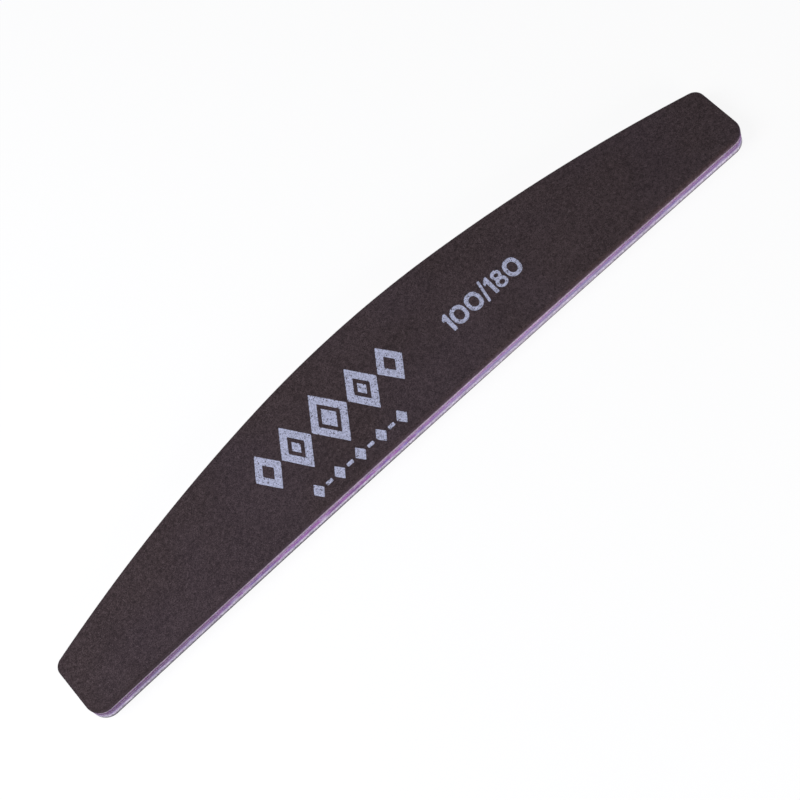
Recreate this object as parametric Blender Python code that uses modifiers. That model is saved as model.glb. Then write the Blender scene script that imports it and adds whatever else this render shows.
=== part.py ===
"""Half-moon nail file, coarse on one face and fine on the other.

It is a stack of eleven sheets, stamped out together by one cutting die. A stiff core plate lies
between two foam pads, and over each pad is a backing paper that carries a coat of grit.
Double-sided film bonds the pads to the plate, and the papers to the pads. Two sheets that touch
share the height of the face between them, so they meet face to face and nothing overlaps.

Metres, +Z up. The origin is on the underside, in the middle of the length and of the width. The
length runs along X, the long edge faces -Y, the arched back faces +Y, and the coarse face is up.
"""

from math import asin, atan2, copysign, cos, pi, radians, sin, sqrt

import bmesh
import bpy
from mathutils import Vector

# Outline of the cutting die
FILE_LENGTH = 0.180
FILE_WIDTH = 0.030
BACK_DROP = 0.0146  # from the crown of the back down to the ends, before their corners are rounded
CROWN_RADIUS = 0.2245
CROWN_SPAN = 0.0492  # stretch in the middle of the back that has the crown's radius
EDGE_HOLLOW = 0.0006  # gap in the middle of the long edge when a straight rule is laid along it
EDGE_CORNER_RADIUS = 0.0038  # where an end meets the long edge
BACK_CORNER_RADIUS = 0.0025  # where an end meets the back

# Thicknesses of the sheets
COARSE_COAT = 0.00022
FINE_COAT = 0.00018
BACKING_PAPER = 0.00025
ADHESIVE_FILM = 0.00005
FOAM_PAD = 0.00095
CORE_PLATE = 0.00100

# Cut edges
COAT_RIM_RADIUS = 0.00012  # the die rolls the outer rim of each coat over
PLATE_RIM_RADIUS = 0.00008
FOAM_WAIST = 0.00015  # how far a pad's cut edge springs back between its bonded faces

# The most that each rounding takes, as a share of the sheet's thickness or of the end's height
COAT_RIM_LIMIT_SHARE = 0.7
PLATE_RIM_LIMIT_SHARE = 0.3
WAIST_LIMIT_SHARE = 0.5
CORNER_LIMIT_SHARE = 0.45

# Facets
LONG_EDGE_STEPS = 8
CORNER_STEPS = 8
FLANK_STEPS = 13
CROWN_STEPS = 5
RIM_STEPS = 3
WAIST_STEPS = 6
WELD_DISTANCE = 0.000001
RIM_ANGLE = radians(60)
SMOOTH_ANGLE = radians(35)

# Surfaces: colour as red, green and blue out of 255, then roughness
GRIT = (66, 54, 60), 0.92
PAPER = (88, 74, 80), 0.85
FILM = (206, 198, 212), 0.35
FOAM = (190, 176, 203), 0.9
PLATE = (139, 92, 156), 0.4


def clear_scene():
    for thing in list(bpy.data.objects):
        bpy.data.objects.remove(thing)


def linear(level):
    """A colour level out of 255, as the linear value that a shader takes."""
    share = level / 255
    return share / 12.92 if share <= 0.04045 else ((share + 0.055) / 1.055) ** 2.4


def material(name, surface):
    levels, roughness = surface
    made = bpy.data.materials.new(name)
    made.use_nodes = True
    shader = made.node_tree.nodes["Principled BSDF"]
    shader.inputs["Base Color"].default_value = (*map(linear, levels), 1)
    shader.inputs["Roughness"].default_value = roughness
    shader.inputs["Metallic"].default_value = 0
    return made


def arc(centre, radius, start, end, steps):
    """Points along an arc as it turns from start to end, both ends among them."""
    turns = [start + (end - start) * step / steps for step in range(steps + 1)]
    return [centre + radius * Vector((cos(turn), sin(turn))) for turn in turns]


def turn_to(point, centre, radius):
    """The angle at which an arc of that centre and radius points to the point."""
    way = (point - centre) / radius
    return atan2(way.y, way.x)


def die_outline(inset=0):
    """The die's outline, anticlockwise from the middle of the long edge, drawn in by the inset."""
    half_length = FILE_LENGTH / 2
    end_height = FILE_WIDTH - BACK_DROP
    corner_limit = CORNER_LIMIT_SHARE * end_height
    edge_radius = min(EDGE_CORNER_RADIUS, corner_limit)
    back_radius = min(BACK_CORNER_RADIUS, corner_limit)
    top = pi / 2

    # The long edge is one shallow arc, centred far outside it, that touches both edge corners
    edge_corner = Vector((half_length - edge_radius, edge_radius))
    hollow_radius = (edge_corner.x**2 + EDGE_HOLLOW**2) / (2 * EDGE_HOLLOW) - edge_radius
    hollow_centre = Vector((0, EDGE_HOLLOW - hollow_radius))
    hollow_end = turn_to(edge_corner, hollow_centre, hollow_radius)

    # The crown's arc runs without a kink into the flank's arc, which falls to the end
    crown_turn = asin(CROWN_SPAN / 2 / CROWN_RADIUS)
    crown_centre = Vector((0, FILE_WIDTH - CROWN_RADIUS))
    inward = -Vector((sin(crown_turn), cos(crown_turn)))
    joint = crown_centre - CROWN_RADIUS * inward
    chord = Vector((half_length, end_height)) - joint
    flank_radius = chord.length_squared / (2 * chord.dot(inward))
    flank_centre = joint + flank_radius * inward

    # The back corner touches the flank's arc and the end
    reach = half_length - back_radius
    rise = sqrt((flank_radius - back_radius) ** 2 - (reach - flank_centre.x) ** 2)
    back_corner = Vector((reach, flank_centre.y + copysign(rise, flank_radius)))
    flank_start = turn_to(back_corner, flank_centre, flank_radius)

    long_edge = arc(hollow_centre, hollow_radius + inset, top, hollow_end, LONG_EDGE_STEPS)
    lower_corner = arc(edge_corner, edge_radius - inset, hollow_end - pi, 0, CORNER_STEPS)
    upper_corner = arc(back_corner, back_radius - inset, 0, flank_start, CORNER_STEPS)
    flank = arc(flank_centre, flank_radius - inset, flank_start, top - crown_turn, FLANK_STEPS)
    crown = arc(crown_centre, CROWN_RADIUS - inset, top - crown_turn, top, CROWN_STEPS)
    right = long_edge + lower_corner[1:] + upper_corner + flank[1:] + crown[1:]
    left = [Vector((-point.x, point.y)) for point in reversed(right[1:-1])]
    middle = Vector((0, FILE_WIDTH / 2))
    return [point - middle for point in right + left]


def outline_curve(name, thickness):
    """The die's outline as a filled curve, thick to both sides of its own plane."""
    outline = die_outline()
    curve = bpy.data.curves.new(name, "CURVE")
    curve.dimensions = "2D"
    curve.fill_mode = "BOTH"
    curve.extrude = thickness / 2
    spline = curve.splines.new("POLY")
    spline.points.add(len(outline) - 1)
    spline.use_cyclic_u = True
    for place, point in zip(spline.points, outline):
        place.co = (*point, 0, 1)
    made = bpy.data.objects.new(name, curve)
    bpy.context.scene.collection.objects.link(made)
    return made


def lies_flat(face):
    return abs(face.normal.z) > cos(RIM_ANGLE)


def sheet(name, floor, ceiling):
    """A plain sheet that fills the die's outline from one height up to another."""
    pattern = outline_curve(name, ceiling - floor)
    graph = bpy.context.evaluated_depsgraph_get()
    mesh = bpy.data.meshes.new_from_object(pattern.evaluated_get(graph))
    bpy.data.curves.remove(pattern.data)
    form = bmesh.new()
    form.from_mesh(mesh)
    bmesh.ops.remove_doubles(form, verts=form.verts, dist=WELD_DISTANCE)
    seams = [edge for edge in form.edges if all(map(lies_flat, edge.link_faces))]
    bmesh.ops.dissolve_edges(form, edges=seams)
    for vertex in form.verts:
        vertex.co.z = ceiling if vertex.co.z > 0 else floor
    form.to_mesh(mesh)
    form.free()
    return bpy.data.objects.new(name, mesh)


def round_rims(made, radius, *heights):
    """Rounds the rims that lie at these heights."""
    form = bmesh.new()
    form.from_mesh(made.data)
    weight = form.edges.layers.float.new("bevel_weight_edge")
    for edge in form.edges:
        height = edge.verts[0].co.z
        near = any(abs(height - at) < WELD_DISTANCE for at in heights)
        edge[weight] = float(near and edge.calc_face_angle() > RIM_ANGLE)
    form.to_mesh(made.data)
    form.free()
    bevel = made.modifiers.new("rounded rim", "BEVEL")
    bevel.limit_method = "WEIGHT"
    bevel.width = radius
    bevel.segments = RIM_STEPS


def grit_coat(name, floor, ceiling):
    """Grains set in resin, with the rim rolled over on the side that faces out of the stack."""
    made = sheet(name, floor, ceiling)
    limit = COAT_RIM_LIMIT_SHARE * (ceiling - floor)
    round_rims(made, min(COAT_RIM_RADIUS, limit), ceiling if floor > 0 else floor)
    return made


def core_plate(name, floor, ceiling):
    """The stiff plate, with both of its rims eased."""
    made = sheet(name, floor, ceiling)
    limit = PLATE_RIM_LIMIT_SHARE * (ceiling - floor)
    round_rims(made, min(PLATE_RIM_RADIUS, limit), floor, ceiling)
    return made


def foam_pad(name, floor, ceiling):
    """Foam with a waisted cut edge: its bonded faces hold it, and it springs back between them."""
    waist = min(FOAM_WAIST, WAIST_LIMIT_SHARE * (ceiling - floor))
    form = bmesh.new()
    rings = []
    for step in range(WAIST_STEPS + 1):
        share = step / WAIST_STEPS
        height = floor * (1 - share) + ceiling * share
        outline = die_outline(waist * sin(pi * share))
        ring = [form.verts.new((*point, height)) for point in outline]
        rings.append([form.edges.new(ends) for ends in zip(ring, ring[1:] + ring[:1])])
        if step in (0, WAIST_STEPS):
            form.faces.new(ring)
    for lower, upper in zip(rings, rings[1:]):
        bmesh.ops.bridge_loops(form, edges=lower + upper)
    bmesh.ops.recalc_face_normals(form, faces=form.faces)
    mesh = bpy.data.meshes.new(name)
    form.to_mesh(mesh)
    form.free()
    return bpy.data.objects.new(name, mesh)


# The stack from the underside up: name, how it is made, thickness and surface
STACK = (
    ("grit_coat_180", grit_coat, FINE_COAT, GRIT),
    ("backing_paper_lower", sheet, BACKING_PAPER, PAPER),
    ("adhesive_film_lower_outer", sheet, ADHESIVE_FILM, FILM),
    ("foam_pad_lower", foam_pad, FOAM_PAD, FOAM),
    ("adhesive_film_lower_inner", sheet, ADHESIVE_FILM, FILM),
    ("core_plate", core_plate, CORE_PLATE, PLATE),
    ("adhesive_film_upper_inner", sheet, ADHESIVE_FILM, FILM),
    ("foam_pad_upper", foam_pad, FOAM_PAD, FOAM),
    ("adhesive_film_upper_outer", sheet, ADHESIVE_FILM, FILM),
    ("backing_paper_upper", sheet, BACKING_PAPER, PAPER),
    ("grit_coat_100", grit_coat, COARSE_COAT, GRIT),
)


def build():
    clear_scene()
    part = bpy.data.collections.new("nail_file")
    bpy.context.scene.collection.children.link(part)
    assembly = bpy.data.objects.new("nail_file", None)
    part.objects.link(assembly)
    floor = 0
    for name, make, thickness, surface in STACK:
        made = make(name, floor, floor + thickness)
        made.data.name = name
        made.data.materials.clear()
        made.data.materials.append(material(name, surface))
        made.data.shade_smooth()
        made.data.set_sharp_from_angle(angle=SMOOTH_ANGLE)
        made.parent = assembly
        part.objects.link(made)
        floor += thickness


build()
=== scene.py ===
"""Half-moon nail file: the looks of its eleven sheets, the print on its coarse face, and a studio."""

from functools import partialmethod
from math import asin, atan2, copysign, cos, pi, radians, sin, sqrt

import bpy
from bpy.props import FloatProperty, FloatVectorProperty, PointerProperty
from mathutils import Matrix, Vector, noise
from mathutils.geometry import delaunay_2d_cdt


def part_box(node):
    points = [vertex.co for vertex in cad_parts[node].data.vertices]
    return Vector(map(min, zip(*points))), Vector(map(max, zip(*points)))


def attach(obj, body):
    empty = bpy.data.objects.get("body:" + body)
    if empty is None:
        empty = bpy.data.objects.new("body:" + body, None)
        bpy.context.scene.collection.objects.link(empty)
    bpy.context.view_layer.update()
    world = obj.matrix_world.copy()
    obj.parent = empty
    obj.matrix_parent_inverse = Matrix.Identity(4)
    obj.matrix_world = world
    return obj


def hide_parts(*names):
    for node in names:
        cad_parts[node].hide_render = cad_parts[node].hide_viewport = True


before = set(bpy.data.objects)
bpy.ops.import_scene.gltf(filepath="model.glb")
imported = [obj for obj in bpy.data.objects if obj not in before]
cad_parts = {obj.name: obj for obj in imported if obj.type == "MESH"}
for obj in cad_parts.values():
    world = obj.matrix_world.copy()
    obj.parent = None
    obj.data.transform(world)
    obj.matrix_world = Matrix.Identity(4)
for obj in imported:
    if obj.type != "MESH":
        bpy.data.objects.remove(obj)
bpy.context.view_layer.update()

bl_info = {
    "name": "Half-moon nail file",
    "version": (1, 0, 0),
    "blender": (4, 5, 0),
    "location": "3D View > Sidebar > Nail File",
    "description": "Gives a packed half-moon nail file its grit, foam, plate, print and studio",
    "category": "Object",
}

MM = 0.001
SMOOTH_ANGLE = radians(50)

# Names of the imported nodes
COARSE_NODE = "grit_coat_100"
FINE_NODE = "grit_coat_180"
PLATE_NODE = "core_plate"
FILM_PLACES = ("upper_outer", "upper_inner", "lower_inner", "lower_outer")

# How densely the points of the meshes lie
FACE_SPACING = 0.26 * MM
FACE_ROWS = 112
COAT_RIM_STEPS = 4
EDGE_SPACING = 0.15 * MM
EDGE_ROWS = 50
PAPER_STEPS = 4
FOAM_STEPS = 10
PLATE_STEPS = 4
PLATE_RIM_STEPS = 3
FLOOR_STEPS = 24
CORNER_STEPS = 4
OVAL_STEPS = 48
EIGHT_STEPS = 64
INK_STEP = 0.2  # millimetres

# Seeds that tell the noises apart
COARSE_SEED = 11
FINE_SEED = 31
PLATE_SEED = 13
DARK_STRETCH_SEED = 144
STRESS_SEED = 9
INK_SEED = 41

FAR = 2  # millimetres from the long edge, beyond which it leaves no mark on a face
PRESSED_FLAT = 0.7  # share of the relief that the die takes out at the very border of a face
PRESSED_TINT = 0.6  # share of the rim's colour that shows there
LONG_WAVE = 56 * MM  # length of the stretches of the cut edge where the die worked alike
PLATE_RIM = 0.08 * MM
USUAL = (0.3, 0.7)  # the range that a shader's noise seldom leaves

# The papers: seed, and the share of torn fibres where the die was sharp and where it was blunt
PAPERS = {"upper": (3, (1, 1)), "lower": (5, (0.2, 1.8))}

# The foam pads: seed, share of violet dust, share of the darker stretches at the bottom and at the top.
# Then the bands from above and from below, smears that also stand as painted shade and painted violet
# light:
# reach in millimetres, and strength where the die was sharp and where it was blunt.
PADS = {
    "upper": (7, 0.5, (0.78, 0.12), (0.22, 0.85, 0.85), (0.16, 0.8, 0.8)),
    "lower": (9, 0.3, (0, 0.1), (0.1, 0.85, 0.85), (0.12, 0.8, 0.2)),
}

# The print, in millimetres on the coarse face. The edges of a ring are given by their middle, half
# width, half height and squareness.
FIRST_ONE = (
    (17.08, -3.8), (17.98, -3.8), (18.05, 0.9), (17.5, 0.9), (16.58, -0.02), (16.62, -0.72), (17.08, -0.4)
)
SECOND_ONE = (
    (28.82, -3.8), (29.65, -3.8), (29.7, 0.9), (29.18, 0.9), (28.18, -0.05), (28.22, -0.78), (28.82, -0.42)
)
SLASH = ((26.38, -4.1), (26.98, -4.1), (28.08, 1.3), (27.48, 1.3))
ZEROS = (
    ((20.2, -1.55, 1.84, 2.28, 2.3), (20.2, -1.6, 1.02, 1.38, 2.1)),
    ((24.3, -1.55, 1.86, 2.28, 2.3), (24.3, -1.6, 1.04, 1.36, 2.1)),
    ((35.1, -1.58, 1.88, 2.32, 2.3), (35.12, -1.6, 1.03, 1.38, 2.1)),
)
EIGHT = (31.45, 0.75, -3.83)  # middle, top and bottom
EIGHT_HOLES = ((31.45, -0.5, 0.52, 0.46, 2), (31.45, -2.58, 0.64, 0.6, 2))
LOZENGES = ((3.4, 5.1), (4.0, 6.3), (4.8, 7.4), (4.0, 6.3), (3.4, 5.1))  # half widths and heights
LOZENGE_GAP = 0.35
LOZENGE_CORNER = 0.25
FILLED_FROM = 4  # half width from which a lozenge holds a small one
FILLING_GAP = 0.85
FILLING_CORNER = 0.1
RULE_SPACING = 2.85
RULE_CORNER = 0.2
DASH = (0.8, 0.42)
SMALL_LOZENGE = (1.35, 1.9)

# The table
FLOOR_HALF = 3.0
FLOOR_DROP = 0.02 * MM
SHADOW_REACH = (150, 500)  # millimetres from the middle, over which the shadow fades out
SHADOW_WHITE = 0.88  # share of white in what the camera sees of the table beside the file


def linear(level):
    """A colour level out of 255, as the linear value that a shader takes."""
    share = level / 255
    return share / 12.92 if share <= 0.04045 else ((share + 0.055) / 1.055) ** 2.4


# Settings


def size(name, description, millimetres):
    return FloatProperty(
        name=name, description=description, default=millimetres * MM,
        min=0, precision=5, subtype="DISTANCE", unit="LENGTH",
    )


def colour(name, description, *levels):
    return FloatVectorProperty(
        name=name, description=description, default=tuple(map(linear, levels)),
        size=3, min=0, max=1, subtype="COLOR",
    )


def position(name, description, *millimetres):
    return FloatVectorProperty(
        name=name, description=description, default=[value * MM for value in millimetres],
        size=3, subtype="TRANSLATION", unit="LENGTH",
    )


def power(name, description, watts):
    return FloatProperty(
        name=name, description=description, default=watts, min=0, subtype="POWER", unit="POWER"
    )


class NailFileDie(bpy.types.PropertyGroup):
    """Sizes of the cutting die that stamps the sheets out."""

    length: size("Length", "From end to end", 180)
    width: size("Width", "From the long edge to the crown of the back", 30)
    back_drop: size("Back drop", "From the crown of the back down to the ends", 14.6)
    crown_radius: size("Crown radius", "Radius of the middle of the back", 224.5)
    crown_span: size("Crown span", "Stretch of the back that has the crown's radius", 49.2)
    edge_hollow: size("Edge hollow", "Gap under a rule that is laid along the long edge", 0.6)
    edge_corner: size("Edge corner", "Radius where an end meets the long edge", 3.8)
    back_corner: size("Back corner", "Radius where an end meets the back", 2.5)
    waist: size("Foam waist", "How far the foam springs back between its bonded faces", 0.15)


class NailFileGrit(bpy.types.PropertyGroup):
    """The two coats of grains in resin."""

    coarse_grain: size("Coarse grain", "Width of a grain on the coarse face", 0.17)
    fine_grain: size("Fine grain", "Width of a grain on the fine face", 0.1)
    coarse_depth: size("Coarse relief", "Depth between the coarse grains", 0.06)
    fine_depth: size("Fine relief", "Depth between the fine grains", 0.035)
    rim_radius: size("Rolled rim", "Radius of the rim that the die rolls over", 0.12)
    rim_reach: size("Rim reach", "How far the pressed, darker border reaches into a face", 0.28)
    resin: colour("Resin", "Resin between the grains", 45, 35, 37)
    grain: colour("Grain", "The usual grain under its size coat", 80, 67, 70)
    pale_grain: colour("Pale grain", "Grains whose tips have lost their size coat", 98, 84, 88)
    # Its patches lie so that the left end turns bluer: a painted bluish sheen of the lamp, as well as a
    # thinner size coat
    cool: colour("Cool patches", "Where a thinner size coat lets the grain's mauve through", 74, 64, 88)
    # Painted shade in the gaps between the grains
    seam: colour("Seam", "Shaded gaps between the grains", 18, 12, 14)
    # Pressed resin, darkened also as painted shade where the rolled rim turns from the light
    coarse_rim: colour("Coarse rim", "Pressed resin of the coarse coat", 54, 44, 48)
    # Pressed resin, darkened also as painted contact shadow along the bottom of the file
    fine_rim: colour("Fine rim", "Pressed resin of the fine coat", 30, 30, 32)
    worn: colour("Worn", "Warm, bare resin where the long edge has rubbed", 112, 87, 80)
    dust: colour("Foam dust", "Lilac dust of the foam on the rim of the long edge", 150, 125, 165)


class NailFileLayers(bpy.types.PropertyGroup):
    """What shows of the sheets between the coats, on the cut edge."""

    upper_paper: colour("Upper paper", "Cut edge of the paper under the coarse coat", 88, 74, 80)
    # Dark paper, darkened further as painted contact shadow along the bottom of the file
    lower_paper: colour("Lower paper", "Cut edge of the darker paper over the fine coat", 40, 40, 42)
    fibre: colour("Paper fibre", "Torn fibres that stand out of the papers", 122, 106, 112)
    film: colour("Film", "Double-sided film", 206, 198, 212)
    # Darker than the lower foam: painted shade under the coarse sheet
    upper_foam: colour("Upper foam", "Lilac foam under the coarse face", 192, 170, 194)
    lower_foam: colour("Lower foam", "Paler foam over the fine face", 222, 215, 231)
    # Painted shade inside the foam's pores, also the colour of the dust in the films
    pore: colour("Foam pore", "Inside of the foam's pores", 130, 110, 146)
    plate: colour("Plate", "Violet plastic of the core", 147, 70, 159)
    plate_blue: colour("Plate, blue", "Bluer patches of its cut edge", 120, 90, 170)
    plate_dark: colour("Plate, dark", "Where the plate was sheared cleanly", 102, 46, 116)
    plate_pale: colour("Plate, pale", "Where the shearing has stressed the plastic white", 180, 162, 198)
    plate_haze: colour("Plate, hazed", "Long stretches that a blunter die has dulled", 134, 124, 162)
    # Colour of the darker long stretches along the cut edge
    dragged: colour("Dragged resin", "Dark dust that the die has dragged over the cut edge", 74, 42, 82)
    pore_width: size("Pore width", "Usual width of a pore in the foam", 0.2)
    pore_depth: size("Pore depth", "Usual depth of a cut pore", 0.07)


class NailFilePrint(bpy.types.PropertyGroup):
    """The print on the coarse face."""

    ink: colour("Ink", "Lavender grey screen ink", 174, 177, 202)
    thickness: size("Ink thickness", "Thickness of the dried ink", 0.018)
    ragged: size("Ragged edge", "How far the ink strays from its outline among the grains", 0.05)
    band_centre: position("Band centre", "Middle of the ornament", -14.3, 0.8, 0)
    band_stroke: size("Band stroke", "Width of the lozenges' lines", 1.6)
    rule_centre: position("Rule centre", "Middle of the dashes under the ornament", -14.7, -10.2, 0)


class NailFileStage(bpy.types.PropertyGroup):
    """Camera, lamps and floor."""

    camera_place: position("Camera place", "Where the camera stands", -36.09, -191.56, 370.58)
    camera_aim: position("Camera aim", "The point in the middle of the view", -1.21, -7.14, 4)
    camera_roll: FloatProperty(
        name="Camera roll", description="Turn of the camera about its own axis", default=radians(-32.5),
        subtype="ANGLE", unit="ROTATION",
    )
    lens: FloatProperty(
        name="Lens", description="Focal length", default=90, min=1, subtype="DISTANCE_CAMERA", unit="CAMERA"
    )
    key_place: position("Key lamp place", "Where the large soft lamp hangs", -245, 40, 265)
    key_size: size("Key lamp size", "Side of the large soft lamp", 260)
    key_power: power("Key lamp power", "Power of the large soft lamp", 1.27)
    key_colour: colour("Key lamp colour", "Light of the large soft lamp", 246, 248, 255)
    fill_place: position("Fill lamp place", "Where the low lamp before the file stands", 130, -330, 85)
    fill_size: size("Fill lamp size", "Side of the low lamp", 160)
    fill_power: power("Fill lamp power", "Power of the low lamp", 0.72)
    sky: FloatProperty(
        name="Sky", description="Strength of the even light from all round", default=0.325, min=0
    )
    floor: colour("Floor", "The pale table", 244, 244, 246)


# Outline of the die


def arc(centre, radius, start, end, steps, sense=-1):
    """Points along an arc, each with the direction that leads into the die's outline."""
    line = []
    for step in range(steps + 1):
        turn = start + (end - start) * step / steps
        ray = Vector((cos(turn), sin(turn)))
        line.append((centre + radius * ray, sense * ray))
    return line


def turn_to(point, centre, radius):
    """The angle at which an arc of that centre and radius points to the point."""
    way = (point - centre) / radius
    return atan2(way.y, way.x)


def mirrored(point):
    return Vector((-point.x, point.y))


def die_lines(die, spacing):
    """The die's lower and upper line, from left to right, with as many points each."""
    half_length = die.length / 2
    end_height = die.width - die.back_drop
    edge_radius, back_radius = die.edge_corner, die.back_corner
    top = pi / 2

    # The long edge is one shallow arc that touches both edge corners
    edge_corner = Vector((half_length - edge_radius, edge_radius))
    hollow_radius = (edge_corner.x**2 + die.edge_hollow**2) / (2 * die.edge_hollow) - edge_radius
    hollow_centre = Vector((0, die.edge_hollow - hollow_radius))
    hollow_end = turn_to(edge_corner, hollow_centre, hollow_radius)

    # The crown's arc runs without a kink into the flank's, which falls to the end
    crown_turn = asin(die.crown_span / 2 / die.crown_radius)
    crown_centre = Vector((0, die.width - die.crown_radius))
    inward = -Vector((sin(crown_turn), cos(crown_turn)))
    joint = crown_centre - die.crown_radius * inward
    chord = Vector((half_length, end_height)) - joint
    flank_radius = chord.length_squared / (2 * chord.dot(inward))
    flank_centre = joint + flank_radius * inward

    # The back corner touches the flank's arc and the end
    reach = half_length - back_radius
    rise = sqrt((flank_radius - back_radius) ** 2 - (reach - flank_centre.x) ** 2)
    back_corner = Vector((reach, flank_centre.y + copysign(rise, flank_radius)))
    flank_start = turn_to(back_corner, flank_centre, flank_radius)

    corner_steps = round(edge_radius * pi / 2 / spacing)
    crown_steps = round(die.crown_span / 2 / spacing)
    flank_steps = round((reach - die.crown_span / 2) / spacing)
    edge_steps = flank_steps + crown_steps
    long_edge = arc(hollow_centre, hollow_radius, top, hollow_end, edge_steps, 1)
    lower_corner = arc(edge_corner, edge_radius, hollow_end - pi, 0, corner_steps)
    upper_corner = arc(back_corner, back_radius, 0, flank_start, corner_steps)
    flank = arc(flank_centre, flank_radius, flank_start, top - crown_turn, flank_steps)
    crown = arc(crown_centre, die.crown_radius, top - crown_turn, top, crown_steps)

    middle = Vector((0, die.width / 2))
    lines = []
    for half in (long_edge + lower_corner[1:], (upper_corner + flank[1:] + crown[1:])[::-1]):
        right = [(point - middle, way) for point, way in half]
        left = [(mirrored(point), mirrored(way)) for point, way in reversed(right[1:])]
        lines.append(left + right)
    return lines


def between(start, end, steps):
    """The points inside a straight stretch of the outline."""
    shares = [step / steps for step in range(1, steps)]
    return [tuple(a.lerp(b, share) for a, b in zip(start, end)) for share in shares]


def die_ring(lines, rows):
    """The whole outline, anticlockwise, with that many rows along each end."""
    lower, upper = lines
    right = between(lower[-1], upper[-1], rows)
    left = between(upper[0], lower[0], rows)
    return lower + right + upper[::-1] + left


# Relief


def grain_noise(point, width, seed):
    """Smooth noise from -1 to 1, with lumps about as wide as the width."""
    return noise.noise(Vector(point).to_3d() / width + Vector((seed, 2 * seed, 5 * seed)))


def dent(point, height, width, seed, flatness=1, limit=0):
    """From 0 to 1, lumps of a cut edge. A flatness over 1 lays them along the sheet, under 1 across."""
    return max(0, grain_noise((*point, height * flatness), width, seed) - limit)


def ripple(point, height, width, seed):
    """From 0 to 1, soft waves of a cut edge."""
    return 0.5 + 0.5 * grain_noise((*point, height), width, seed)


def grit_relief(point, grain, depth, seed):
    """How far the coat's surface lies below its highest grains at a point of the face."""
    swell = 0.12 * grain_noise(point, 9 * MM, seed)
    clump = 0.22 * grain_noise(point, 1.3 * MM, seed + 3)
    tips = 0.55 * grain_noise(point, 2.2 * grain, seed + 7)
    return depth * min(1, max(0, 0.5 + swell + clump + tips))


def paper_fray(seed):
    """What gives the depth of the torn fibres at a place of a paper's cut edge."""

    def depth(point, height):
        tuft = dent(point, height, 0.5 * MM, seed, flatness=3)
        fibre = dent(point, height, 0.16 * MM, seed + 1, flatness=5)
        return 0.05 * MM * tuft + 0.03 * MM * fibre

    return depth


def foam_pores(seed, pore_width, pore_depth):
    """What gives the depth of the cut pores at a place of a pad's edge."""

    def depth(point, height):
        wide = dent(point, height, 0.9 * pore_width, seed, limit=0.05)
        small = dent(point, height, 0.5 * pore_width, seed + 1)
        wave = ripple(point, height, 3 * MM, seed + 2)
        return pore_depth * (1.3 * wide + 0.5 * small + 0.3 * wave)

    return depth


def plate_shear(point, height):
    """Depth of the shear lines and the waves at a place of the plate's cut edge."""
    line = dent(point, height, 0.3 * MM, PLATE_SEED, flatness=0.1)
    wave = ripple(point, height, 2 * MM, PLATE_SEED + 1)
    return 0.03 * MM * line + 0.02 * MM * wave


def stretches(ring, seed, low, high):
    """From 0 to 1 for each point of the outline, in long waves."""
    waves = [grain_noise(point, LONG_WAVE, seed) for point, _ in ring]
    return [min(1, max(0, (wave - low) / (high - low))) for wave in waves]


# Meshes


def link(name, vertices, faces, material, **layers):
    """A smooth shaded piece made from its points and faces. A layer holds a number for each point."""
    mesh = bpy.data.meshes.new(name)
    mesh.from_pydata(vertices, [], faces)
    for layer, values in layers.items():
        made = mesh.attributes.new(layer, "FLOAT", "POINT")
        made.data.foreach_set("value", values)
    mesh.materials.append(material)
    mesh.shade_smooth()
    mesh.set_sharp_from_angle(angle=SMOOTH_ANGLE)
    piece = bpy.data.objects.new(name, mesh)
    bpy.context.scene.collection.objects.link(piece)
    return piece


def dress(piece, node):
    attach(piece, "root")
    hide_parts(node)


def wall_faces(rings, count):
    """The faces between rings of points, numbered one ring after the other from the bottom up."""
    faces = []
    for ring in range(rings - 1):
        low = ring * count
        for column in range(count):
            ahead = (column + 1) % count
            faces.append((low + column, low + ahead, low + count + ahead, low + count + column))
    return faces


def grid_faces(start, rows, columns):
    """The faces of a grid of points, numbered row by row, with that many rows of faces."""
    faces = []
    for row in range(rows):
        for column in range(columns - 1):
            here = start + row * columns + column
            faces.append((here, here + 1, here + columns + 1, here + columns))
    return faces


def banded_solid(name, ring, levels, sink, material):
    """A sheet whose cut edge has relief: levels are (height, inset) pairs from the bottom up."""
    vertices = []
    for height, inset in levels:
        for point, inward in ring:
            edge = point + (inset + sink(point, height)) * inward
            vertices.append((*edge, height))
    rows, count = len(levels), len(ring)
    top = (rows - 1) * count
    faces = wall_faces(rows, count)
    faces.append(tuple(reversed(range(count))))
    faces.append(tuple(range(top, top + count)))
    dragged = stretches(ring, DARK_STRETCH_SEED, -0.3, 0.25)
    stressed = stretches(ring, STRESS_SEED, -0.2, 0.45)
    return link(name, vertices, faces, material, dragged=dragged * rows, stressed=stressed * rows)


# Finishes


def opaque(tint):
    """A colour with full cover, or the socket that brings one."""
    return tint if isinstance(tint, bpy.types.NodeSocket) else (*tint, 1)


def tinted(tint, share):
    return [min(1, share * level) for level in tint]


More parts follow.
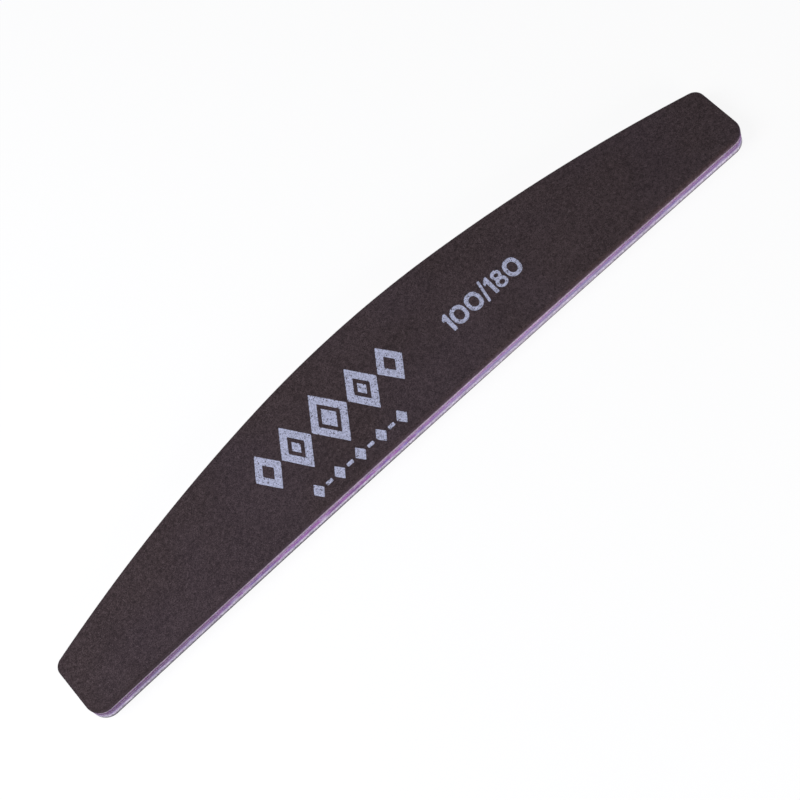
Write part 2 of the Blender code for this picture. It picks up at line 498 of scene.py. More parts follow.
class Finish:
    """A procedural material: a Principled shader and the nodes that feed it, in millimetres."""

    def __init__(self, name, **sockets):
        self.material = bpy.data.materials.new(name)
        self.material.use_nodes = True
        self.tree = self.material.node_tree
        self.shader = self.tree.nodes["Principled BSDF"]
        for socket, value in sockets.items():
            self.shader.inputs[socket.replace("_", " ")].default_value = value
        self.place = self.stretched(1, 1, 1)

    def add(self, kind, inputs, **settings):
        """A node of that kind. Inputs are numbers, colours or the sockets that feed them."""
        made = self.tree.nodes.new("ShaderNode" + kind)
        for setting, value in settings.items():
            setattr(made, setting, value)
        for socket, value in inputs.items():
            self.feed(made.inputs[socket], value)
        return made

    def feed(self, socket, value):
        if isinstance(value, bpy.types.NodeSocket):
            self.tree.links.new(value, socket)
        else:
            socket.default_value = value

    def stretched(self, x, y, z, shift=0):
        """Places in millimetres, each axis squeezed by its number, and shifted along the length."""
        inputs = {"Vector": self.add("TexCoord", {}).outputs["Object"], "Location": (shift, 0, 0)}
        return self.add("Mapping", {**inputs, "Scale": (x / MM, y / MM, z / MM)}).outputs[0]

    def lumps(self, width, detail=2, roughness=0.5, place=None):
        """Noise from 0 to 1 with lumps about that wide, in millimetres."""
        inputs = {"Vector": place or self.place, "Scale": 1 / width, "Detail": detail}
        return self.add("TexNoise", {**inputs, "Roughness": roughness}).outputs["Fac"]

    def cells(self, width, output="Color", place=None, feature="F1"):
        """Grains about that wide: Color tells them apart, Distance is measured from their middles."""
        inputs = {"Vector": place or self.place, "Scale": 1 / width}
        return self.add("TexVoronoi", inputs, feature=feature).outputs[output]

    def math(self, operation, *values):
        return self.add("Math", dict(enumerate(values)), operation=operation).outputs[0]

    plus = partialmethod(math, "ADD")
    minus = partialmethod(math, "SUBTRACT")
    times = partialmethod(math, "MULTIPLY")

    def spread(self, value, low, high, to_low=0, to_high=1):
        """The value between low and high, spread over another range."""
        inputs = {"Value": value, "From Min": low, "From Max": high, "To Min": to_low, "To Max": to_high}
        return self.add("MapRange", inputs).outputs[0]

    def layer(self, name):
        """A number that the mesh holds for each of its points."""
        return self.add("Attribute", {}, attribute_name=name).outputs["Fac"]

    def mix(self, share, first, second):
        """The first colour, with that share of the second over it."""
        inputs = {0: share, 6: opaque(first), 7: opaque(second)}
        return self.add("Mix", inputs, data_type="RGBA").outputs[2]

    def channels(self, coloured):
        """The three numbers that a colour holds."""
        return self.add("SeparateColor", {"Color": coloured}).outputs[:3]

    def moved(self, way, other, operation="ADD"):
        return self.add("VectorMath", {0: way, 1: other}, operation=operation).outputs[0]

    def scaled(self, way, share):
        return self.add("VectorMath", {0: way, "Scale": share}, operation="SCALE").outputs[0]

    def tilted(self, ways, share):
        """The surface's normal, leaned towards a direction that each grain has of its own."""
        lean = self.scaled(self.moved(ways, (0.5, 0.5, 0.5), "SUBTRACT"), share)
        return self.moved(self.add("NewGeometry", {}).outputs["Normal"], lean)

    def axis(self, letter):
        """How far a place lies along that axis, in millimetres."""
        return self.add("SeparateXYZ", {"Vector": self.place}).outputs[letter]

    def bump(self, height, distance, normal=None):
        inputs = {"Height": height, "Distance": distance, "Strength": 1.0}
        if normal:
            inputs["Normal"] = normal
        return self.add("Bump", inputs).outputs[0]

    def done(self, base, roughness=None, normal=None):
        inputs = {"Base Color": base, "Roughness": roughness, "Normal": normal}
        for socket, value in inputs.items():
            if value is not None:
                self.feed(self.shader.inputs[socket], value)
        return self.material


def rubbed_border(look, base, grit, clump):
    """The colour with the face's border along the long edge: dim at the left, worn to the right."""
    from_edge, along = look.layer("from_edge"), look.axis("X")
    dim = look.times(look.spread(from_edge, 1.2, 0.85), look.spread(from_edge, 0.3, 0.5))
    dim = look.times(dim, look.spread(along, -30, -75, 0, 0.5))
    base = look.mix(dim, base, grit.resin)
    wear = look.plus(look.spread(from_edge, 1.15, 0.8, 0, 0.4), look.spread(from_edge, 0.6, 0.1, 0, 0.6))
    wear = look.times(wear, look.spread(along, -50, 70, 0, 0.28))
    wear = look.times(wear, look.spread(along, 88, 85))
    wear = look.times(wear, look.spread(clump, *USUAL, 0.5, 1.5))
    base = look.mix(wear, base, grit.worn)
    dust = look.spread(from_edge, 0.48, 0.15, 0, 0.085)
    dust = look.times(dust, look.spread(along, -80, 20, 0.15, 1))
    dust = look.times(dust, look.spread(clump, *USUAL, 0.3, 1.7))
    return look.mix(dust, base, grit.dust)


def grit_finish(name, grit, grain, rim):
    """Grains in brown resin, each tilted its own way, with painted shade in the gaps between them; flat
    along the rim, and dark there from pressed resin and painted shade.
    """
    look = Finish(name, Specular_IOR_Level=0.15)
    grain /= MM
    kinds = look.cells(grain)
    each, pale, shiny = look.channels(kinds)
    clump = look.lumps(0.7, 3, 0.6)
    patch = look.lumps(14)
    huddle = look.lumps(4.4 * grain, 1)
    tone = look.plus(look.times(each, 0.36), look.times(clump, 0.35))
    tone = look.plus(tone, look.times(huddle, 0.7))
    tone = look.plus(tone, look.spread(patch, *USUAL, -0.06, 0.06))
    base = look.mix(look.spread(tone, 0.4, 1.0), grit.resin, grit.grain)
    gap = look.spread(look.lumps(1.2 * grain, 1), *USUAL, 0.09, -0.09)
    tips = look.plus(pale, look.spread(clump, *USUAL, -0.12, 0.12))
    base = look.mix(look.spread(tips, 0.92, 1.12), base, grit.pale_grain)
    # Bluish patches towards the left end: painted sheen of the lamp, as well as a thinner size coat
    bluish_sheen_patches = look.lumps(26, place=look.stretched(1, 1, 1, 75))
    base = look.mix(look.spread(bluish_sheen_patches, 0.42, 0.62, 0, 0.08), base, grit.cool)
    # Painted shade in the gaps between the grains
    seam = look.minus(look.cells(grain, "Distance", feature="DISTANCE_TO_EDGE"), gap)
    base = look.mix(look.spread(seam, 0, 0.15, 0.85, 0), base, grit.seam)
    # Dark along the rim: pressed resin, and painted shade of the rolled rim on the coarse coat and of the
    # contact shadow on the fine one
    base = rubbed_border(look, look.mix(look.layer("rim"), base, rim), grit, clump)
    roughness = look.spread(shiny, 0.86, 0.98, 0.92, 0.6)
    facets = look.tilted(look.mix(0.5, kinds, look.cells(0.45 * grain)), 0.9)
    relief = look.minus(look.times(each, 0.6), look.cells(grain, "Distance"))
    return look.done(base, roughness, look.bump(relief, 0.3 * grain * MM, facets))


def ink_finish(ink, resin, grain):
    """Ink that follows the grains: thin on their tips, and bare where it bridged no gap between them."""
    look = Finish("print_ink", Specular_IOR_Level=0.25)
    grain /= MM
    kinds = look.cells(grain)
    each, thinness, _ = look.channels(kinds)
    clump = look.lumps(0.34, 3, 0.6)
    bare = look.spread(look.plus(look.times(each, 0.34), clump), 0.55, 0.46)
    wash = look.plus(look.times(thinness, 0.36), look.times(look.lumps(0.8, 4, 0.65), 0.6))
    shade = look.mix(look.spread(wash, 0.3, 0.62), tinted(ink, 0.6), tinted(ink, 1.1))
    roughness = look.spread(clump, *USUAL, 0.6, 0.85)
    relief = look.minus(look.times(each, 0.5), look.cells(grain, "Distance"))
    normal = look.bump(relief, 0.2 * grain * MM, look.tilted(kinds, 0.35))
    return look.done(look.mix(bare, shade, resin), roughness, normal)


def paper_finish(name, paper, fibre, torn):
    """The sheared edge of resin-soaked paper, with fibres along it that a blunt die has torn out."""
    look = Finish(name, Roughness=0.88)
    fibres = look.lumps(0.05, 3, 0.65, look.stretched(0.22, 0.22, 1))
    tufts = look.lumps(0.7, 3)
    share = look.spread(look.plus(look.times(fibres, 0.7), look.times(tufts, 0.3)), 0.46, 0.66)
    share = look.times(share, look.spread(look.layer("stressed"), 0, 1, *torn))
    return look.done(look.mix(share, paper, fibre), None, look.bump(fibres, 0.03 * MM))


def film_finish(layers):
    """Milky double-sided film with dust caught in its sticky edge."""
    look = Finish("adhesive_film", Specular_IOR_Level=0.5)
    dust = look.lumps(0.25, 3, 0.7)
    base = look.mix(look.spread(dust, 0.5, 0.68), layers.film, layers.pore)
    return look.done(base, look.spread(dust, 0.35, 0.65, 0.28, 0.6), look.bump(dust, 0.02 * MM))


def foam_finish(name, foam, layers, violet_dust, drag, shade_and_reflection_bands):
    """Cut foam: pores with painted shade in them, and streaks in the colours of the sheets above and below,
    smeared on by the die and painted as shade and as violet light off the plate.
    """
    look = Finish(name, Roughness=0.92, Specular_IOR_Level=0.25)
    width = layers.pore_width / MM

    # Pores of two sizes, bent out of shape
    inputs = {"Vector": look.place, "Scale": 1.3 / width, "Detail": 2}
    stray = look.add("TexNoise", inputs).outputs["Color"]
    bent = look.moved(look.place, look.scaled(stray, 1.1 * width))
    wall = look.cells(width, "Distance", bent, "DISTANCE_TO_EDGE")
    small = look.cells(0.5 * width, "Distance", bent, "DISTANCE_TO_EDGE")
    pore = look.spread(look.plus(look.times(wall, 1.6), look.times(small, 0.8)), 0.1, 0.62)

    # Uneven foam, with violet and bluish dust of the plate on it
    tone = look.plus(look.times(look.lumps(2.2, 5, 0.65), 0.5), look.times(look.lumps(0.5), 0.5))
    base = look.mix(look.spread(tone, 0.4, 0.6), tinted(foam, 0.74), tinted(foam, 1.28))
    dust = look.lumps(0.8, 3, 0.6, look.stretched(1, 1, 0.6, 17))
    violet = look.spread(dust, 0.52, 0.68, 0, violet_dust)
    base = look.mix(violet, base, tinted(layers.plate, 1.4))
    bluish = look.spread(dust, 0.46, 0.34, 0, 0.8 * violet_dust)
    base = look.mix(bluish, base, tinted(layers.plate_blue, 2.0))
    # Painted shade inside the pores
    base = look.mix(look.times(pore, 0.75), base, layers.pore)

    # What its neighbours have smeared on it, also painted shade under and over the dark papers and painted
    # violet light off the plate; then the darker long stretches over all
    streaks = look.lumps(0.35, 3, 0.6, look.stretched(1, 1, 0.12))
    for border, way, tint, (reach, sharp, blunt) in shade_and_reflection_bands:
        strength = look.spread(look.layer("stressed"), 0, 1, sharp, blunt)
        depth = look.times(look.minus(look.axis("Z"), border / MM), way)
        limit = look.spread(streaks, *USUAL, 0.2 * reach, 1.8 * reach)
        fade = look.spread(look.math("DIVIDE", depth, limit), 0.5, 1.1, strength, 0)
        base = look.mix(fade, base, tint)
    share = look.spread(look.axis("Z"), *drag)
    base = look.mix(look.times(look.layer("dragged"), share), base, layers.dragged)
    return look.done(base, None, look.bump(look.minus(1.0, pore), 0.05 * MM))


def plate_finish(layers):
    """Violet plastic with shear lines down its cut edge and patches that the shearing stressed white."""
    look = Finish("core_plastic", Specular_IOR_Level=0.3)
    low, high = (corner.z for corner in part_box(PLATE_NODE))
    lines = look.lumps(0.09, 3, 0.6, look.stretched(1, 1, 0.06))
    patch = look.lumps(2.8, 3, place=look.stretched(1, 1, 0.5))
    hue = look.lumps(3.4)
    blend = look.plus(look.times(lines, 0.3), look.times(patch, 0.7))
    base = look.mix(look.spread(hue, 0.4, 0.62), layers.plate, layers.plate_blue)
    base = look.mix(look.spread(blend, 0.5, 0.42, 0, 0.85), base, layers.plate_dark)
    base = look.mix(look.spread(blend, 0.52, 0.62, 0, 0.8), base, layers.plate_pale)

    # Long hazed stretches, and darker long stretches that fade out downwards, both broken up by the lines
    dull = look.math("MAXIMUM", look.layer("stressed"), look.times(look.layer("dragged"), 0.7))
    dull = look.times(dull, look.spread(lines, *USUAL, 0.45, 1.05))
    base = look.mix(dull, base, layers.plate_haze)
    clear, dark = (0.8 * low + 0.2 * high) / MM, (0.15 * low + 0.85 * high) / MM
    reach = look.spread(look.axis("Z"), clear, dark, 0.05, 1)
    reach = look.plus(reach, look.spread(lines, *USUAL, 0.3, -0.3))
    base = look.mix(look.times(look.layer("dragged"), reach), base, layers.dragged)
    return look.done(base, look.spread(lines, *USUAL, 0.3, 0.55), look.bump(lines, 0.02 * MM))


def seen_white(tree):
    """1 on the rays of the camera, of reflections and of what is clear, which see the studio white."""
    path = tree.nodes.new("ShaderNodeLightPath")
    seen = path.outputs["Is Camera Ray"]
    for output in ("Is Glossy Ray", "Is Transmission Ray"):
        either = tree.nodes.new("ShaderNodeMath")
        either.operation = "MAXIMUM"
        tree.links.new(seen, either.inputs[0])
        tree.links.new(path.outputs[output], either.inputs[1])
        seen = either.outputs[0]
    return seen


def floor_finish(tint):
    """A pale table that the camera sees as white, with the object's soft shadow on it."""
    look = Finish("floor", Roughness=0.95, Specular_IOR_Level=0.0)
    look.done(look.mix(look.lumps(60), tinted(tint, 0.985), tint))
    glow = look.add("Emission", {"Color": (1, 1, 1, 1), "Strength": 1.0})
    away = look.add("VectorMath", {0: look.place}, operation="LENGTH").outputs["Value"]
    share = look.times(seen_white(look.tree), look.spread(away, *SHADOW_REACH, SHADOW_WHITE, 1))
    mixed = look.add("MixShader", {0: share, 1: look.shader.outputs[0], 2: glow.outputs[0]})
    look.feed(look.tree.nodes["Material Output"].inputs["Surface"], mixed.outputs[0])
    return look.material


# Sheets


def grit_coat(side, node, die, grit, grain, depth, rim_tint, seed):
    """One coat: a face of grains with a rolled rim, down to the flat side bonded to the paper."""
    low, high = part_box(node)
    up = node == COARSE_NODE
    bonded, face = (low.z, high.z) if up else (high.z, low.z)
    toward = 1 if up else -1
    radius = grit.rim_radius
    lines = die_lines(die, FACE_SPACING)
    ring = die_ring(lines, FACE_ROWS)
    columns, count = len(lines[0]), len(ring)
    thick = abs(face - bonded)
    vertices, rim, from_edge = [], [], []

    # The cut edge and the rolled rim, from the bonded side to the face
    levels = [(0, 0), (0.5 * (thick - radius), 0)]
    for step in range(COAT_RIM_STEPS):
        turn = pi / 2 * step / COAT_RIM_STEPS
        levels.append((thick - radius + radius * sin(turn), radius * (1 - cos(turn))))
    for height, inset in levels:
        for number, (point, inward) in enumerate(ring):
            chip = dent(point, height, 1.6 * grain, seed) * 0.35 * depth
            edge = point + (inset + chip) * inward
            vertices.append((*edge, bonded + toward * height))
            rim.append(1)
            from_edge.append(0 if number < columns else FAR)
    faces = wall_faces(len(levels), count)
    faces.append(tuple(reversed(range(count))))

    # The face: a grid between the lower and the upper line, drawn in by the rim's radius
    start = len(vertices)
    lower, upper = ([point + radius * inward for point, inward in line] for line in lines)
    for row in range(FACE_ROWS + 1):
        share = row / FACE_ROWS
        for first, last in zip(lower, upper):
            point = first.lerp(last, share)
            across = (last - first).length
            margin = min(min(share, 1 - share) * across, die.length / 2 - radius - abs(point.x))
            pressed = max(0, 1 - margin / grit.rim_reach)
            sink = grit_relief(point, grain, depth, seed) * (1 - PRESSED_FLAT * pressed)
            vertices.append((*point, face - toward * sink))
            rim.append(PRESSED_TINT * pressed)
            from_edge.append(min(FAR, (radius + share * across) / MM))
    faces += grid_faces(start, FACE_ROWS, columns)

    # The seam between the last ring of the rim and the border of the grid
    border = [start + column for column in range(columns)]
    border += [start + row * columns + columns - 1 for row in range(1, FACE_ROWS)]
    border += [start + FACE_ROWS * columns + column for column in reversed(range(columns))]
    border += [start + row * columns for row in reversed(range(1, FACE_ROWS))]
    last = (len(levels) - 1) * count
    for column in range(count):
        ahead = (column + 1) % count
        faces.append((last + column, last + ahead, border[ahead], border[column]))
    if not up:
        faces = [tuple(reversed(corners)) for corners in faces]
    name = f"{side}_face"
    finish = grit_finish(name, grit, grain, rim_tint)
    dress(link(name, vertices, faces, finish, rim=rim, from_edge=from_edge), node)


class NailFileOperator:
    """What the operators of this file share."""

    bl_options = {"REGISTER", "UNDO"}


class NAILFILE_OT_grit_coats(NailFileOperator, bpy.types.Operator):
    """Makes the coarse and the fine coat of grains"""

    bl_idname = "nail_file.grit_coats"
    bl_label = "Grit Coats"

    def execute(self, context):
        die, grit = context.scene.nail_file_die, context.scene.nail_file_grit
        coarse = (grit.coarse_grain, grit.coarse_depth, grit.coarse_rim, COARSE_SEED)
        fine = (grit.fine_grain, grit.fine_depth, grit.fine_rim, FINE_SEED)
        grit_coat("coarse", COARSE_NODE, die, grit, *coarse)
        grit_coat("fine", FINE_NODE, die, grit, *fine)
        return {"FINISHED"}


def cut_ring(die):
    """The die's outline, with the points that a cut edge needs."""
    return die_ring(die_lines(die, EDGE_SPACING), EDGE_ROWS)


class NAILFILE_OT_backing_papers(NailFileOperator, bpy.types.Operator):
    """Makes the two backing papers with their sheared edges"""

    bl_idname = "nail_file.backing_papers"
    bl_label = "Backing Papers"

    def execute(self, context):
        layers = context.scene.nail_file_layers
        ring = cut_ring(context.scene.nail_file_die)
        for side, paper in (("upper", layers.upper_paper), ("lower", layers.lower_paper)):
            seed, torn = PAPERS[side]
            name, node = f"{side}_paper", f"backing_paper_{side}"
            finish = paper_finish(name, paper, layers.fibre, torn)
            low, high = (corner.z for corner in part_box(node))
            levels = [(low + (high - low) * step / PAPER_STEPS, 0) for step in range(PAPER_STEPS + 1)]
            dress(banded_solid(name, ring, levels, paper_fray(seed), finish), node)
        return {"FINISHED"}


class NAILFILE_OT_adhesive_films(NailFileOperator, bpy.types.Operator):
    """Gives the four double-sided films their milky finish"""

    bl_idname = "nail_file.adhesive_films"
    bl_label = "Adhesive Films"

    def execute(self, context):
        finish = film_finish(context.scene.nail_file_layers)
        for place in FILM_PLACES:
            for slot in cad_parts[f"adhesive_film_{place}"].material_slots:
                slot.material = finish
        return {"FINISHED"}


class NAILFILE_OT_foam_pads(NailFileOperator, bpy.types.Operator):
    """Makes the two foam pads with waisted, porous cut edges"""

    bl_idname = "nail_file.foam_pads"
    bl_label = "Foam Pads"

    def execute(self, context):
        die, layers = context.scene.nail_file_die, context.scene.nail_file_layers
        ring = cut_ring(die)
        upper = (layers.upper_foam, layers.upper_paper, layers.plate)
        lower = (layers.lower_foam, layers.plate, layers.lower_paper)
        for side, (foam, above, below) in (("upper", upper), ("lower", lower)):
            seed, violet_dust, dragged, from_above, from_below = PADS[side]
            node = f"foam_pad_{side}"
            low, high = (corner.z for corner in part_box(node))
            levels = []
            for step in range(FOAM_STEPS + 1):
                share = step / FOAM_STEPS
                levels.append((low + (high - low) * share, die.waist * sin(pi * share)))
            # Bands from the neighbours: smears, and painted shade from the dark papers and painted violet
            # light off the plate
            shade_and_reflection_bands = ((high, -1, above, from_above), (low, 1, below, from_below))
            drag = (low / MM, high / MM, *dragged)
            finish = foam_finish(f"foam_{side}", foam, layers, violet_dust, drag, shade_and_reflection_bands)
            pores = foam_pores(seed, layers.pore_width, layers.pore_depth)
            piece = banded_solid(f"{side}_foam", ring, levels, pores, finish)
            dress(piece, node)
        return {"FINISHED"}


class NAILFILE_OT_core_plate(NailFileOperator, bpy.types.Operator):
    """Makes the stiff violet plate with its sheared edge"""

    bl_idname = "nail_file.core_plate"
    bl_label = "Core Plate"

    def execute(self, context):
        low, high = (corner.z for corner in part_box(PLATE_NODE))
        rounding = []
        for step in range(PLATE_RIM_STEPS):
            turn = pi / 2 * step / PLATE_RIM_STEPS
            rounding.append((PLATE_RIM * (1 - cos(turn)), PLATE_RIM * (1 - sin(turn))))
        levels = [(low + rise, inset) for rise, inset in rounding]
        for step in range(PLATE_STEPS + 1):
            levels.append((low + PLATE_RIM + (high - low - 2 * PLATE_RIM) * step / PLATE_STEPS, 0))
        levels += [(high - rise, inset) for rise, inset in reversed(rounding)]
        ring, finish = cut_ring(context.scene.nail_file_die), plate_finish(context.scene.nail_file_layers)
        dress(banded_solid("violet_plate", ring, levels, plate_shear, finish), PLATE_NODE)
        return {"FINISHED"}


# Print


def rounded(corners, radius):
    """A loop whose corners are rounded, in millimetres."""
    loop = []
    for before, corner, after in zip(corners[-1:] + corners[:-1], corners, corners[1:] + corners[:1]):
        before, corner, after = map(Vector, (before, corner, after))
        ways = (before - corner, after - corner)
        start, end = (corner + way.normalized() * min(radius, way.length / 2) for way in ways)
        for step in range(CORNER_STEPS + 1):
            share = step / CORNER_STEPS
            loop.append(start.lerp(corner, share).lerp(corner.lerp(end, share), share))
    return loop


def oval(x, y, half_width, half_height, squareness):
    """One edge of a slightly squared ring."""
    loop = []
    for step in range(OVAL_STEPS):
        turn = 2 * pi * step / OVAL_STEPS
        across, along = (copysign(abs(way) ** (2 / squareness), way) for way in (cos(turn), sin(turn)))
        loop.append(Vector((x + half_width * across, y + half_height * along)))
    return loop


def figure_eight(x, top, bottom):
    """The outline of an 8: a smaller lobe on a larger one, joined by a soft waist."""
    height = top - bottom
    upper = (top - 0.245 * height, 0.245 * height, 1.17)
    lower = (bottom + 0.29 * height, 0.29 * height, 1.35)
    waist = 0.92
    side = []
    for step in range(EIGHT_STEPS + 1):
        y = bottom + height * (1 - cos(pi * step / EIGHT_STEPS)) / 2
        widths = [wide * max(0, 1 - ((y - at) / half) ** 2) ** 0.5 for at, half, wide in (upper, lower)]
        blended = (widths[0] ** 6 + widths[1] ** 6) ** (1 / 6)
        if upper[0] > y > lower[0]:
            blended = max(blended, waist)
        side.append(Vector((blended, y)))
    right = [Vector((x + point.x, point.y)) for point in side]
    left = [Vector((x - point.x, point.y)) for point in reversed(side[1:-1])]
    return right + left


def lozenge(x, y, half_width, half_height, radius):
    corners = [(x - half_width, y), (x, y - half_height), (x + half_width, y), (x, y + half_height)]
    return rounded(corners, radius)


def dash(x, y, half_width, half_height, radius):
    left, right, bottom, top = x - half_width, x + half_width, y - half_height, y + half_height
    return rounded([(left, bottom), (right, bottom), (right, top), (left, top)], radius)


def thinned(half_width, half_height, stroke):
    """Half sizes of the lozenge that lies a stroke inside another."""
    share = 1 - stroke * sqrt(half_width**-2 + half_height**-2)
    return half_width * share, half_height * share


def strayed(loop, ragged):
    """The loop with points about a step apart, each a little off its place, in millimetres."""
    dense = []
    for here, ahead in zip(loop, loop[1:] + loop[:1]):
        parts = max(1, round((ahead - here).length / INK_STEP))
        dense += [here.lerp(ahead, part / parts) for part in range(parts)]
    moved = []
    for point in dense:
        stray = [grain_noise(point, 0.3, seed) for seed in (INK_SEED, INK_SEED + 2)]
        moved.append(point + ragged * Vector(stray))
    return moved


def covered(loops, point):
    """Whether the point is inked: it lies inside the outline, and in none of the holes."""
    inside = False
    for loop in loops:
        for a, b in zip(loop, loop[1:] + loop[:1]):
            crosses = (a.y > point.y) != (b.y > point.y)
            if crosses and point.x < a.x + (point.y - a.y) * (b.x - a.x) / (b.y - a.y):
                inside = not inside
    return inside


def filling(loops, outline):
    """Points a step apart between the loops, and at least half a step away from them."""
    xs, ys = [point.x for point in outline], [point.y for point in outline]
    inner = []
    x = min(xs)
    while x < max(xs):
        y = min(ys)
        while y < max(ys):
            here = Vector((x, y))
            if covered(loops, here) and min((here - point).length for point in outline) > 0.5 * INK_STEP:
                inner.append(here)
            y += INK_STEP
        x += INK_STEP
    return inner


def stencil_parts(shape, ragged):
    """Points and triangles of one inked shape, given as loops in millimetres, holes among them."""
    loops = [strayed(loop, ragged / MM) for loop in shape]
    points, edges = [], []
    for loop in loops:
        start = len(points)
        points += loop
        edges += [(start + at, start + (at + 1) % len(loop)) for at in range(len(loop))]
    made = delaunay_2d_cdt(points + filling(loops, points), edges, [], 0, 1e-6)
    spots, triangles = made[0], made[2]
    kept = []
    for triangle in triangles:
        middle = sum((spots[at] for at in triangle), Vector((0, 0))) / len(triangle)
        if covered(loops, middle):
            kept.append(tuple(triangle))
    return spots, kept


def inked(name, shapes, context):
    """One printed piece: each shape is draped over the grains as a thin closed layer of ink."""
    grit, prints = context.scene.nail_file_grit, context.scene.nail_file_print
    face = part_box(COARSE_NODE)[1].z
    vertices, faces = [], []
    for shape in shapes:
        spots, triangles = stencil_parts(shape, prints.ragged)
        start, count = len(vertices), len(spots)
        for lift in (prints.thickness, -2 * prints.thickness):
            for point in (spot * MM for spot in spots):
                ground = face - grit_relief(point, grit.coarse_grain, grit.coarse_depth, COARSE_SEED)
                vertices.append((*point, ground + lift))
        rims = {}
        for a, b, c in triangles:
            faces.append((start + a, start + b, start + c))
            faces.append((start + count + c, start + count + b, start + count + a))
            for edge in ((a, b), (b, c), (c, a)):
                if not rims.pop(edge[::-1], False):
                    rims[edge] = True
        for a, b in rims:
            faces.append((start + b, start + a, start + count + a, start + count + b))
    piece = link(name, vertices, faces, ink_finish(prints.ink, grit.resin, grit.coarse_grain))
    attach(piece, "root")


class NAILFILE_OT_grit_numbers(NailFileOperator, bpy.types.Operator):
    """Prints the two plain grit numbers, 100 and 180, with a stroke between them"""

    bl_idname = "nail_file.grit_numbers"
    bl_label = "Grit Numbers"

    def execute(self, context):
        first_zero, second_zero, last_zero = ([oval(*edge) for edge in zero] for zero in ZEROS)
        shapes = [
            [rounded(FIRST_ONE, 0.14)],
            first_zero,
            second_zero,
            [rounded(SLASH, 0.12)],
            [rounded(SECOND_ONE, 0.14)],
            [figure_eight(*EIGHT), *(oval(*hole) for hole in EIGHT_HOLES)],
            last_zero,
        ]
        inked("grit_numbers", shapes, context)
        return {"FINISHED"}


class NAILFILE_OT_lozenge_band(NailFileOperator, bpy.types.Operator):
    """Prints a plain band of lozenges with a row of dashes under it"""

    bl_idname = "nail_file.lozenge_band"
    bl_label = "Lozenge Band"

    def execute(self, context):
        prints = context.scene.nail_file_print
        x, y = prints.band_centre.x / MM, prints.band_centre.y / MM
        stroke = prints.band_stroke / MM
        shapes = []
        at = x - sum(half_width for half_width, _ in LOZENGES) - (len(LOZENGES) - 1) / 2 * LOZENGE_GAP
        for half_width, half_height in LOZENGES:
            at += half_width
            inner = thinned(half_width, half_height, stroke)
            half_sizes = ((half_width, half_height), inner)
            shapes.append([lozenge(at, y, *half, LOZENGE_CORNER) for half in half_sizes])
            if half_width >= FILLED_FROM:
                shapes.append([lozenge(at, y, *thinned(*inner, FILLING_GAP), FILLING_CORNER)])
            at += half_width + LOZENGE_GAP
        x, y = prints.rule_centre.x / MM, prints.rule_centre.y / MM
        for step in range(-4, 5):
            form, half_sizes = (dash, DASH) if step % 2 else (lozenge, SMALL_LOZENGE)
            shapes.append([form(x + RULE_SPACING * step, y, *half_sizes, RULE_CORNER)])
        inked("lozenge_band", shapes, context)
        return {"FINISHED"}


# Stage


def lay_floor(tint):
    """The pale table, as a grid just under the file."""
    ticks = [FLOOR_HALF * (2 * step / FLOOR_STEPS - 1) for step in range(FLOOR_STEPS + 1)]
    vertices = [(x, y, -FLOOR_DROP) for y in ticks for x in ticks]
    faces = grid_faces(0, FLOOR_STEPS, FLOOR_STEPS + 1)
    link("table_floor", vertices, faces, floor_finish(tint))


def hang_lamp(scene, name, where, side, watts, tint):
    """A square soft lamp that points at the file."""
    lamp = bpy.data.lights.new(name, "AREA")
    lamp.shape = "SQUARE"
    lamp.size = side
    lamp.energy = watts
    lamp.color = tint
    hung = bpy.data.objects.new(name, lamp)
    hung.location = where
    hung.rotation_euler = (-hung.location).to_track_quat("-Z", "Y").to_euler()
    scene.collection.objects.link(hung)


def light_sky(scene, strength):
    """Even light on the file, and plain white for the rays that see past it."""
    world = bpy.data.worlds.new("studio")
    world.use_nodes = True
    tree = world.node_tree
    sky, white = tree.nodes["Background"], tree.nodes.new("ShaderNodeBackground")
    for made, share in ((sky, strength), (white, 1.0)):
        made.inputs["Strength"].default_value = share
        made.inputs["Color"].default_value = (1, 1, 1, 1)
    mix = tree.nodes.new("ShaderNodeMixShader")
    for source, socket in zip((seen_white(tree), sky.outputs[0], white.outputs[0]), mix.inputs):
        tree.links.new(source, socket)
    tree.links.new(mix.outputs[0], tree.nodes["World Output"].inputs["Surface"])
    scene.world = world


def set_camera(scene, stage):
    """The camera, held level, aimed at the file and then turned about its own axis."""
    lens = bpy.data.cameras.new("camera")
    lens.lens = stage.lens
    lens.sensor_width = 36
    lens.clip_start = 0.01
    camera = bpy.data.objects.new("camera", lens)
    away = (stage.camera_place - stage.camera_aim).normalized()
    level = Vector((0, 0, 1)).cross(away).normalized()
    upright = away.cross(level)
    turned = Matrix.Rotation(stage.camera_roll, 4, "Z")
    facing = Matrix((level, upright, away)).transposed().to_4x4()
    camera.matrix_world = Matrix.Translation(stage.camera_place) @ facing @ turned
    scene.collection.objects.link(camera)
    scene.camera = camera


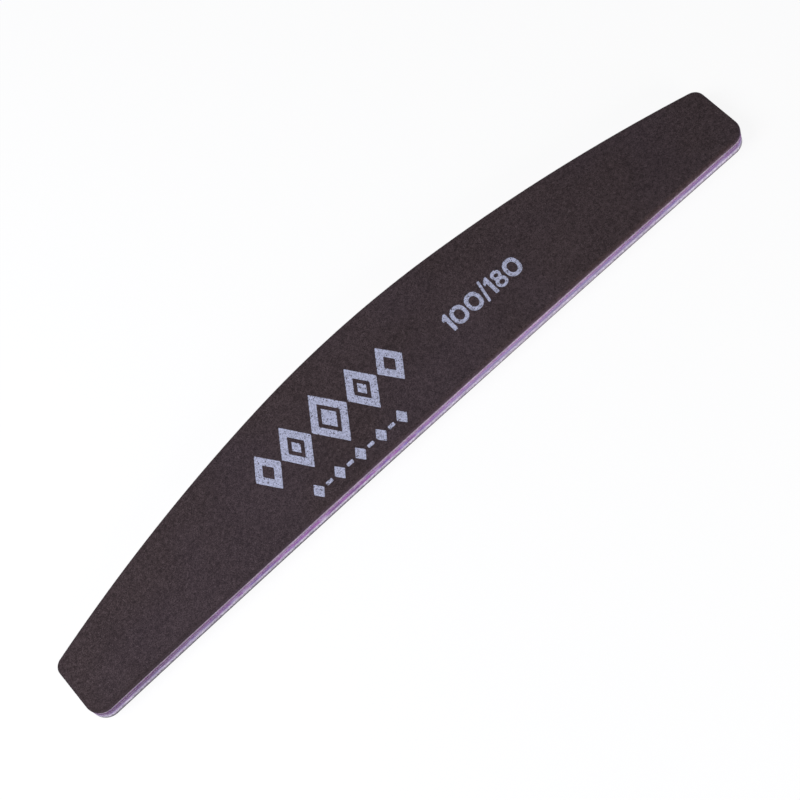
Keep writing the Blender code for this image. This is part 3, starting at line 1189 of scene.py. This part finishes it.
class NAILFILE_OT_stage(NailFileOperator, bpy.types.Operator):
    """Sets the pale table, the key and fill lamps, the even sky and the camera"""

    bl_idname = "nail_file.stage"
    bl_label = "Stage"

    def execute(self, context):
        scene = context.scene
        stage = scene.nail_file_stage
        scene.view_settings.view_transform = "Standard"
        lay_floor(stage.floor)
        hang_lamp(scene, "key_lamp", stage.key_place, stage.key_size, stage.key_power, stage.key_colour)
        hang_lamp(scene, "fill_lamp", stage.fill_place, stage.fill_size, stage.fill_power, (1, 1, 1))
        light_sky(scene, stage.sky)
        set_camera(scene, stage)
        return {"FINISHED"}


class NAILFILE_PT_panel(bpy.types.Panel):
    """The pieces of the nail file and their settings"""

    bl_idname = "NAILFILE_PT_panel"
    bl_label = "Nail File"
    bl_space_type = "VIEW_3D"
    bl_region_type = "UI"
    bl_category = "Nail File"

    def draw(self, context):
        for operator in OPERATORS:
            self.layout.operator(operator.bl_idname)
        for holder, group in GROUPS.items():
            box = self.layout.box()
            for setting in group.__annotations__:
                box.prop(getattr(context.scene, holder), setting)


GROUPS = {
    "nail_file_die": NailFileDie,
    "nail_file_grit": NailFileGrit,
    "nail_file_layers": NailFileLayers,
    "nail_file_print": NailFilePrint,
    "nail_file_stage": NailFileStage,
}
OPERATORS = (
    NAILFILE_OT_stage,
    NAILFILE_OT_grit_coats,
    NAILFILE_OT_backing_papers,
    NAILFILE_OT_adhesive_films,
    NAILFILE_OT_foam_pads,
    NAILFILE_OT_core_plate,
    NAILFILE_OT_grit_numbers,
    NAILFILE_OT_lozenge_band,
)


def register():
    for group in GROUPS.values():
        bpy.utils.register_class(group)
    for holder, group in GROUPS.items():
        setattr(bpy.types.Scene, holder, PointerProperty(type=group))
    for operator in OPERATORS:
        bpy.utils.register_class(operator)
    bpy.utils.register_class(NAILFILE_PT_panel)


def unregister():
    bpy.utils.unregister_class(NAILFILE_PT_panel)
    for operator in reversed(OPERATORS):
        bpy.utils.unregister_class(operator)
    for holder, group in GROUPS.items():
        delattr(bpy.types.Scene, holder)
        bpy.utils.unregister_class(group)


def main():
    register()
    bpy.ops.nail_file.stage()
    bpy.ops.nail_file.grit_coats()
    bpy.ops.nail_file.backing_papers()
    bpy.ops.nail_file.adhesive_films()
    bpy.ops.nail_file.foam_pads()
    bpy.ops.nail_file.core_plate()
    bpy.ops.nail_file.grit_numbers()
    bpy.ops.nail_file.lozenge_band()


if __name__ == "__main__":
    main()
